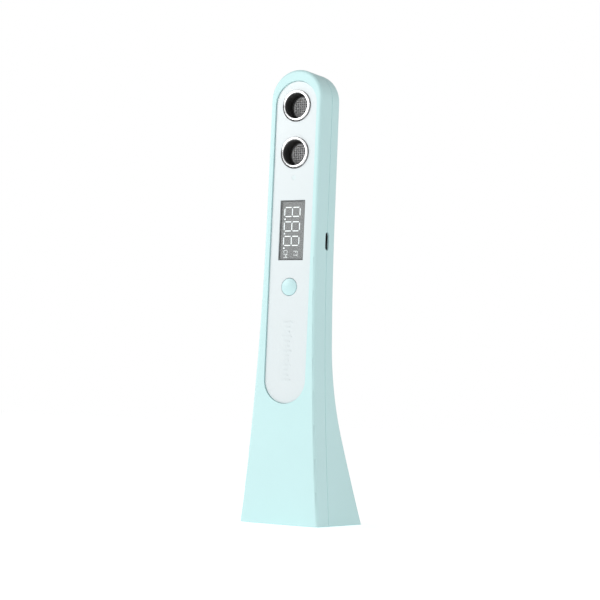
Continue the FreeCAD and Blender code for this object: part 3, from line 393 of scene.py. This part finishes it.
tinnedMetal = workedMetal("tinnedMetal", (0.80, 0.79, 0.76), 0.25, 3000.0)
portSteel = workedMetal("portSteel", (0.16, 0.17, 0.18), 0.4, 2500.0, (0.1, 1.0, 1.0))
screwSteel = workedMetal("screwSteel", (0.50, 0.50, 0.52), 0.35, 2200.0)
springSteel = workedMetal("springSteel", (0.72, 0.72, 0.72), 0.28, 1800.0)
contactGold = workedMetal("contactGold", (0.90, 0.68, 0.30), 0.25, 3500.0)
lensClear = clearLens("lensClear", lensLook)
plugMilky = milkyPlug("plugMilky", plugLook)
displayGrey = displayInk("displayGrey", displayFace)
digitWhite = litBar("digitWhite", litDigit)
inkWhite = whiteInk("inkWhite", printedInk)
boardGreen = circuitBoard("boardGreen", boardLook)
foamBlack = softRubber("foamBlack", (0.02, 0.02, 0.02), 0.9, 2200.0)
foamGrey = softRubber("foamGrey", (0.13, 0.135, 0.135), 0.9, 2200.0)
leadRed = softRubber("leadRed", (0.50, 0.015, 0.015), 0.4, 600.0, 0.00001)
leadBlack = softRubber("leadBlack", (0.02, 0.02, 0.02), 0.4, 600.0, 0.00001)
padSilicone = softRubber("padSilicone", (0.60, 0.74, 0.75), 0.75, 1600.0, 0.00002)
tapeFilm = softRubber("tapeFilm", (0.66, 0.68, 0.66), 0.5, 900.0, 0.00001)
cellFoil = pouchFoil("cellFoil", pouchLook)

nodeFinishes = {
    "front_shell": shellMint, "rear_shell": shellMint, "face_panel": panelPale, "button_cap": buttonMint,
    "base_pad": padSilicone, "panel_adhesive": tapeFilm, "indicator_lens": plugMilky,
    "indicator_led": digitWhite, "display_lens": lensClear, "display_gasket": foamGrey,
    "display_segments": digitWhite, "display_housing": displayGrey, "main_board": boardGreen,
    "sensor_board": boardGreen, "control_chip": chipBlack, "charger_chip": chipBlack,
    "board_parts": chipBlack, "switch_body": partBlack, "switch_cover": springSteel,
    "switch_plunger": partBlack, "switch_dome": springSteel, "port_shell": portSteel,
    "port_tongue": partBlack, "battery_cell": cellFoil, "battery_foam": foamBlack,
    "battery_connector": partBlack, "battery_lead_red": leadRed, "battery_lead_black": leadBlack,
    "sensor_harness": leadBlack, "case_screws": screwSteel,
}
for side in ("transmitter", "receiver"):
    nodeFinishes.update({
        side + "_bezel_ring": ringBright, side + "_horn_sleeve": sleeveBlack, side + "_can": canMetal,
        side + "_mesh": meshSteel, side + "_cone": coneMetal, side + "_piezo": brassDisc,
        side + "_base": partBlack, side + "_pins": tinnedMetal})
for node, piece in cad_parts.items():
    piece.data.materials.clear()
    piece.data.materials.append(nodeFinishes[node])


sharpAngle = math.radians(35)        # edges that turn by more than this stay sharp


# puts a finished bmesh into the scene as a piece on a body
def addPiece(bm, name, material, body, instead=()):
    bmesh.ops.remove_doubles(bm, verts=bm.verts, dist=0.000001)
    bmesh.ops.recalc_face_normals(bm, faces=bm.faces)
    mesh = bpy.data.meshes.new(name)
    bm.to_mesh(mesh)
    bm.free()
    mesh.materials.append(material)
    mesh.shade_smooth()
    mesh.set_sharp_from_angle(angle=sharpAngle)
    piece = bpy.data.objects.new(name, mesh)
    bpy.context.scene.collection.objects.link(piece)
    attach(piece, body)
    if instead:
        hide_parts(*instead)


# turns an outline, as (radius, y) points, round an axis along y through (0, z)
def turned(bm, outline, z, steps=96, closed=True):
    verts = [bm.verts.new((radius, y, z)) for radius, y in outline]
    edges = [bm.edges.new(pair) for pair in zip(verts, verts[1:] + (verts[:1] if closed else []))]
    bmesh.ops.spin(bm, geom=verts + edges, cent=(0, 0, z), axis=(0, 1, 0), angle=math.tau,
                   steps=steps, use_merge=True)
    return bm


# points of an arc from one angle to another, in degrees
def arc(centre, radius, first, last, count):
    angles = [math.radians(first + (last - first) * i / (count - 1)) for i in range(count)]
    return [(centre[0] + radius * math.cos(a), centre[1] + radius * math.sin(a)) for a in angles]


# bright rings
def bezelRing(side):
    low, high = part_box(side + "_bezel_ring")
    z = (low.z + high.z) / 2
    outer = (high.x - low.x) / 2
    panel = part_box("face_panel")[0].y
    bore, spigot, edge, mouth = (ringLook[key] for key in ("bore", "spigot", "edge", "mouth"))
    outline = [(bore, high.y)]
    outline += arc((bore + mouth, low.y + mouth), mouth, 180, 270, ringLook["mouthPoints"])
    outline += arc((outer - edge, low.y + edge), edge, 270, 360, ringLook["edgePoints"])
    outline += [(outer, panel), (spigot, panel), (spigot, high.y)]
    bm = turned(bmesh.new(), outline, z, ringLook["steps"])
    addPiece(bm, side + "RingPolished", ringBright, "casing", [side + "_bezel_ring"])


# woven mesh in front of each transducer
weaveLook = {"pitch": 1.2 * mm, "wire": 0.23 * mm, "rise": 0.95, "sides": 8, "stepsPerPitch": 8,
             "steelRing": 0.25 * mm, "ringOverlap": 0.1 * mm, "halfThick": 0.12 * mm, "ringSteps": 64}


# one wire along x that rises and falls over the wires it crosses
def wovenWire(look, half, phase):
    bm = bmesh.new()
    count = int(2 * half / look["pitch"] * look["stepsPerPitch"])
    ring = bmesh.ops.create_circle(bm, segments=look["sides"], radius=look["wire"],
                                   matrix=Matrix.Rotation(math.pi / 2, 4, "Y"))["verts"]
    edges = list({edge for vert in ring for edge in vert.link_edges})
    here = Vector()
    for index in range(count + 1):
        x = -half + 2 * half * index / count
        y = math.sin(math.pi * x / look["pitch"] + phase) * look["wire"] * look["rise"]
        if index:
            grown = bmesh.ops.extrude_edge_only(bm, edges=edges)["geom"]
            ring = [part for part in grown if isinstance(part, bmesh.types.BMVert)]
            edges = [part for part in grown if isinstance(part, bmesh.types.BMEdge)
                     and part.verts[0] in ring and part.verts[1] in ring]
        bmesh.ops.translate(bm, verts=ring, vec=Vector((x, y, 0)) - here)
        here = Vector((x, y, 0))
    mesh = bpy.data.meshes.new("wire")
    bm.to_mesh(mesh)
    bm.free()
    return mesh


def wovenDisc(look, radius):
    bm = bmesh.new()
    count = int(radius / look["pitch"])
    wires = [wovenWire(look, radius, math.pi / 2 + math.pi * odd) for odd in (0, 1)]
    for turnedOver in (0, 1):
        for index in range(-count, count + 1):
            before = set(bm.verts)
            bm.from_mesh(wires[(index + turnedOver) % 2])
            wire = [vert for vert in bm.verts if vert not in before]
            bmesh.ops.translate(bm, verts=wire, vec=(0, 0, index * look["pitch"]))
            if turnedOver:
                bmesh.ops.rotate(bm, cent=(0, 0, 0), verts=wire,
                                 matrix=Matrix.Rotation(math.pi / 2, 3, "Y"))
    outside = [vert for vert in bm.verts if math.hypot(vert.co.x, vert.co.z) > radius]
    bmesh.ops.delete(bm, geom=outside, context="VERTS")
    for wire in wires:
        bpy.data.meshes.remove(wire)
    return bm


def wovenMesh(side):
    low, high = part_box(side + "_mesh")
    outer = (high.x - low.x) / 2
    inner = outer - weaveLook["steelRing"]
    bm = wovenDisc(weaveLook, inner)
    bore, thick = inner - weaveLook["ringOverlap"], weaveLook["halfThick"]
    rim = turned(bmesh.new(), [(bore, -thick), (outer, -thick), (outer, thick), (bore, thick)], 0,
                 weaveLook["ringSteps"])
    rimMesh = bpy.data.meshes.new("rim")
    rim.to_mesh(rimMesh)
    rim.free()
    bm.from_mesh(rimMesh)
    bpy.data.meshes.remove(rimMesh)
    bmesh.ops.translate(bm, verts=bm.verts, vec=(0, (low.y + high.y) / 2, (low.z + high.z) / 2))
    addPiece(bm, side + "WovenMesh", meshSteel, "casing", [side + "_mesh"])


print("turning the rings and weaving the mesh")
for side in ("transmitter", "receiver"):
    bezelRing(side)
    wovenMesh(side)


# domed button, with its flange and foot behind the tray
buttonLook = {"radius": 4.35 * mm, "rise": 0.6 * mm, "edge": 0.4 * mm, "flangeBehind": 3.65 * mm,
              "flangeThick": 0.9 * mm, "foot": 2.2 * mm, "soft": 0.1 * mm, "arcPoints": 24,
              "edgeFrom": 285, "edgePoints": 8, "steps": 96}


def domedButton(look):
    low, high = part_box("button_cap")
    radius, edge = look["radius"], look["edge"]
    bend = (radius ** 2 + look["rise"] ** 2) / (2 * look["rise"])
    reach = math.asin((radius - edge) / bend)
    angles = [reach * i / look["arcPoints"] for i in range(look["arcPoints"] + 1)]
    outline = [(bend * math.sin(a), low.y + bend * (1 - math.cos(a))) for a in angles]
    outline += arc((radius - edge, outline[-1][1] + edge), edge, look["edgeFrom"], 360,
                   look["edgePoints"])
    front = low.y + look["flangeBehind"]
    back = front + look["flangeThick"]
    soft = look["soft"]
    outline += [(radius, front), (high.x - soft, front), (high.x, front + soft), (high.x, back - soft),
                (high.x - soft, back), (look["foot"], back), (look["foot"], high.y - soft),
                (look["foot"] - soft, high.y), (0, high.y)]
    bm = turned(bmesh.new(), outline, (low.z + high.z) / 2, look["steps"], closed=False)
    addPiece(bm, "buttonDome", buttonMint, "button", ["button_cap"])


# digit bars
digits = {"count": 3, "first": 9.3 * mm, "pitch": 7.3 * mm, "tall": 9.4 * mm, "wide": 5.1 * mm,
          "shift": -0.5 * mm, "bar": 0.52 * mm, "gap": 0.36 * mm, "thick": 0.9 * mm, "point": 0.42 * mm,
          "pointIn": 0.3 * mm, "pointSides": 24, "soft": 0.06 * mm, "softSteps": 2}


# a bar with pointed ends between two corners of a digit
def digitBar(bm, start, end, look, front):
    run = end - start
    half, tip = run.length / 2 - look["gap"], look["bar"] / 2
    turn = Matrix.Rotation(-math.atan2(run.z, run.x), 4, "Y")
    place = Matrix.Translation(((start.x + end.x) / 2, front, (start.z + end.z) / 2)) @ turn
    outline = [(-half, 0), (tip - half, tip), (half - tip, tip), (half, 0), (half - tip, -tip),
               (tip - half, -tip)]
    face = bm.faces.new([bm.verts.new(place @ Vector((x, 0, z))) for x, z in outline])
    grown = bmesh.ops.extrude_face_region(bm, geom=[face])["geom"]
    back = [part for part in grown if isinstance(part, bmesh.types.BMVert)]
    bmesh.ops.translate(bm, verts=back, vec=(0, look["thick"], 0))
    bmesh.ops.bevel(bm, geom=list(face.edges), offset=look["soft"], segments=look["softSteps"],
                    profile=0.5, material=-1, affect="EDGES")


def digitBars(look):
    low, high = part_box("display_segments")
    middle = sum(corner.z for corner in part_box("display_housing")) / 2
    reach, side = (look["tall"] - look["bar"]) / 2, (look["wide"] - look["bar"]) / 2
    bm = bmesh.new()
    for index in range(look["count"]):
        z = middle + look["first"] - index * look["pitch"]
        corners = {(across, up): Vector((look["shift"] + up * reach, 0, z + across * side))
                   for across in (-1, 1) for up in (-1, 0, 1)}
        for across in (-1, 1):
            digitBar(bm, corners[across, -1], corners[across, 0], look, low.y)
            digitBar(bm, corners[across, 0], corners[across, 1], look, low.y)
        for up in (-1, 0, 1):
            digitBar(bm, corners[-1, up], corners[1, up], look, low.y)
        point = Matrix.Translation((look["shift"] - reach + look["pointIn"], low.y + look["thick"] / 2,
                                    z - look["pitch"] / 2))
        bmesh.ops.create_cone(bm, cap_ends=True, segments=look["pointSides"], radius1=look["point"],
                              radius2=look["point"], depth=look["thick"],
                              matrix=point @ Matrix.Rotation(math.pi / 2, 4, "X"))
    addPiece(bm, "digitBars", digitWhite, "casing", ["display_segments"])


# unit marks on the display
marks = {"stroke": 0.28 * mm, "letterTall": 2.1 * mm, "gap": 0.6 * mm, "thick": 0.2 * mm,
         "proud": 0.02 * mm,
         "words": {"CM": {"left": -4.6 * mm, "down": 10.1 * mm},
                   "FT": {"left": 1.2 * mm, "down": 10.5 * mm}}}
# letters as strokes on a square of 1 by 1 (across, then up), and their widths
letters = {
    "C": [((1, 0.85), (0.75, 1)), ((0.75, 1), (0.25, 1)), ((0.25, 1), (0, 0.8)), ((0, 0.8), (0, 0.2)),
          ((0, 0.2), (0.25, 0)), ((0.25, 0), (0.75, 0)), ((0.75, 0), (1, 0.15))],
    "M": [((0, 0), (0, 1)), ((0, 1), (0.5, 0.45)), ((0.5, 0.45), (1, 1)), ((1, 1), (1, 0))],
    "F": [((0, 0), (0, 1)), ((0, 1), (1, 1)), ((0, 0.52), (0.8, 0.52))],
    "T": [((0, 1), (1, 1)), ((0.5, 1), (0.5, 0))],
}
letterWidths = {"C": 1.3 * mm, "M": 1.7 * mm, "F": 0.9 * mm, "T": 1.0 * mm}


strokeCorner = {"share": 0.4, "segments": 3}        # a rounded corner, as a share of the bar's width


# a round-cornered bar from one point of the face to another
def stroke(bm, start, end, width, front, thick):
    run = end - start
    turn = math.atan2(run.z, run.x)
    centre = (start + end) / 2
    place = Matrix.Translation((centre.x, front + thick / 2, centre.z)) @ Matrix.Rotation(-turn, 4, "Y")
    size = Matrix.Diagonal((run.length + width, thick, width, 1))
    made = bmesh.ops.create_cube(bm, size=1, matrix=place @ size)["verts"]
    edges = {edge for vert in made for edge in vert.link_edges
             if abs((edge.verts[1].co - edge.verts[0].co).normalized().y) > 0.9}
    bmesh.ops.bevel(bm, geom=list(edges), offset=width * strokeCorner["share"],
                    segments=strokeCorner["segments"], profile=0.5, material=-1, affect="EDGES")


# a letter lying on its side: its top is towards +X and it is read downwards
def letter(bm, sign, left, top, look, front):
    for ends in letters[sign]:
        first, last = (Vector((left + up * look["letterTall"], 0, top - across * letterWidths[sign]))
                       for across, up in ends)
        stroke(bm, first, last, look["stroke"], front, look["thick"])


def unitMarks(look):
    low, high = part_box("display_housing")
    bm = bmesh.new()
    for word, place in look["words"].items():
        top = (low.z + high.z) / 2 - place["down"]
        for sign in word:
            letter(bm, sign, place["left"], top, look, low.y - look["proud"])
            top -= letterWidths[sign] + look["gap"]
    addPiece(bm, "unitMarks", inkWhite, "casing")


print("drawing the button and the unit marks")
domedButton(buttonLook)
digitBars(digits)
unitMarks(marks)


# raised measuring ticks on the panel
ticks = {"count": 13, "pitch": 2.4 * mm, "long": 5.0 * mm, "longEvery": 3, "short": 2.6 * mm,
         "width": 0.45 * mm, "thick": 0.25 * mm, "rooted": 1.5, "below": 12.0 * mm}


def scaleTicks(look):
    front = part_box("face_panel")[0].y
    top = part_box("button_cap")[0].z - look["below"]
    bm = bmesh.new()
    for index in range(look["count"]):
        wide = look["long"] if index % look["longEvery"] == 0 else look["short"]
        z = top - index * look["pitch"]
        stroke(bm, Vector((-wide / 2, 0, z)), Vector((wide / 2, 0, z)), look["width"],
               front - look["thick"], look["thick"] * look["rooted"])
    addPiece(bm, "scaleTicks", panelPale, "casing")


print("raising the ticks")
scaleTicks(ticks)


# contacts on the charging port's tongue
contacts = {"count": 12, "pitch": 0.5 * mm, "width": 0.25 * mm, "long": 3.4 * mm, "thick": 0.06 * mm,
            "setBack": 0.25 * mm, "soft": 0.02 * mm}


def portContacts(look):
    low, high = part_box("port_tongue")
    middle = (low.z + high.z) / 2
    bm = bmesh.new()
    for face in (low.y, high.y):
        for index in range(look["count"]):
            z = middle + (index - (look["count"] - 1) / 2) * look["pitch"]
            place = Matrix.Translation((high.x - look["long"] / 2 - look["setBack"], face, z))
            size = Matrix.Diagonal((look["long"], look["thick"] * 2, look["width"], 1))
            made = bmesh.ops.create_cube(bm, size=1, matrix=place @ size)["verts"]
            edges = list({edge for vert in made for edge in vert.link_edges})
            bmesh.ops.bevel(bm, geom=edges, offset=look["soft"], segments=1, profile=0.5, material=-1,
                            affect="EDGES")
    addPiece(bm, "portContacts", contactGold, "casing")


portContacts(contacts)


# floor, light and camera
stageLook = {"floorRadius": 6.0, "floorSides": 96, "floorColour": (0.93, 0.93, 0.93), "glow": 0.55,
             "skyShown": 1.0, "skyLight": 0.66, "overheadDrop": 0.25}


def paleFloor(look):
    bm = bmesh.new()
    bmesh.ops.create_circle(bm, cap_ends=True, segments=look["floorSides"], radius=look["floorRadius"])
    mesh = bpy.data.meshes.new("floor")
    bm.to_mesh(mesh)
    bm.free()
    floor = bpy.data.objects.new("floor", mesh)
    bpy.context.scene.collection.objects.link(floor)
    finish = Finish("floorPaper", Roughness=0.95, Specular_IOR_Level=0.1,
                    Emission_Color=(1, 1, 1, 1), Emission_Strength=look["glow"])
    grain = finish.noise(400.0, 3.0)
    finish.colour(finish.colours(grain, shaded(look["floorColour"], 0.995), look["floorColour"]))
    mesh.materials.append(finish.material)


# an even sky that is dimmer overhead; what the camera sees of it is white
def paleSky(look):
    world = bpy.data.worlds.new("studio")
    bpy.context.scene.world = world
    world.use_nodes = True
    tree = world.node_tree
    start = Wire(tree)
    shown = start.node("ShaderNodeLightPath", out="Is Camera Ray")
    ray = start.node("ShaderNodeTexCoord", out="Generated")
    height = start.node("ShaderNodeSeparateXYZ", {}, {"Vector": ray}, out="Z")
    light = look["skyLight"] - height.clamped(0, 1) * look["overheadDrop"]
    back = tree.nodes["Background"]
    back.inputs["Color"].default_value = (1, 1, 1, 1)
    start.feed(back.inputs["Strength"], shown * (look["skyShown"] - light) + light)


lamps = {
    "key": {"azimuth": -44, "elevation": 20, "distance": 1.1, "size": 0.55, "radiance": 5.4, "aimZ": 0.12},
}


# round soft lamps, each as far, as wide and as bright as its entry says
def softLamps(entries):
    for name, lamp in entries.items():
        aim = Vector((0, 0, lamp["aimZ"]))
        azimuth, elevation = math.radians(lamp["azimuth"]), math.radians(lamp["elevation"])
        data = bpy.data.lights.new(name, "AREA")
        data.shape = "DISK"
        data.size = lamp["size"]
        data.energy = lamp["radiance"] * math.pi * math.pi * (lamp["size"] / 2) ** 2
        light = bpy.data.objects.new(name, data)
        towards = Vector((math.sin(azimuth) * math.cos(elevation), -math.cos(azimuth) * math.cos(elevation),
                          math.sin(elevation)))
        light.location = aim + towards * lamp["distance"]
        light.rotation_euler = towards.to_track_quat("Z", "Y").to_euler()
        bpy.context.scene.collection.objects.link(light)


shot = {"azimuth": 30.72, "elevation": -3.53, "roll": 2.45, "distance": 0.901,
        "aimX": 1.35 * mm, "aimBehindFace": 9.7 * mm, "aimZ": 112.5 * mm,
        "lens": 107.43, "sensor": 36, "nearest": 0.01, "farthest": 50}


def studioCamera(look):
    azimuth, elevation, roll = (math.radians(look[key]) for key in ("azimuth", "elevation", "roll"))
    back = Vector((math.sin(azimuth) * math.cos(elevation), -math.cos(azimuth) * math.cos(elevation),
                   math.sin(elevation)))
    right = (-back).cross(Vector((0, 0, 1))).normalized()
    up = right.cross(-back)
    across = right * math.cos(roll) + up * math.sin(roll)
    upward = up * math.cos(roll) - right * math.sin(roll)
    data = bpy.data.cameras.new("studioCamera")
    data.lens = look["lens"]
    data.sensor_width = look["sensor"]
    data.clip_start, data.clip_end = look["nearest"], look["farthest"]
    camera = bpy.data.objects.new("studioCamera", data)
    aim = Vector((look["aimX"], faceY + look["aimBehindFace"], look["aimZ"]))
    turn = Matrix((across, upward, back)).transposed().to_4x4()
    camera.matrix_world = Matrix.Translation(aim + back * look["distance"]) @ turn
    bpy.context.scene.collection.objects.link(camera)
    bpy.context.scene.camera = camera


print("setting the stage")
paleFloor(stageLook)
paleSky(stageLook)
softLamps(lamps)
studioCamera(shot)
bpy.context.scene.view_settings.view_transform = "Standard"
bpy.context.scene.view_settings.look = "None"

print("done")
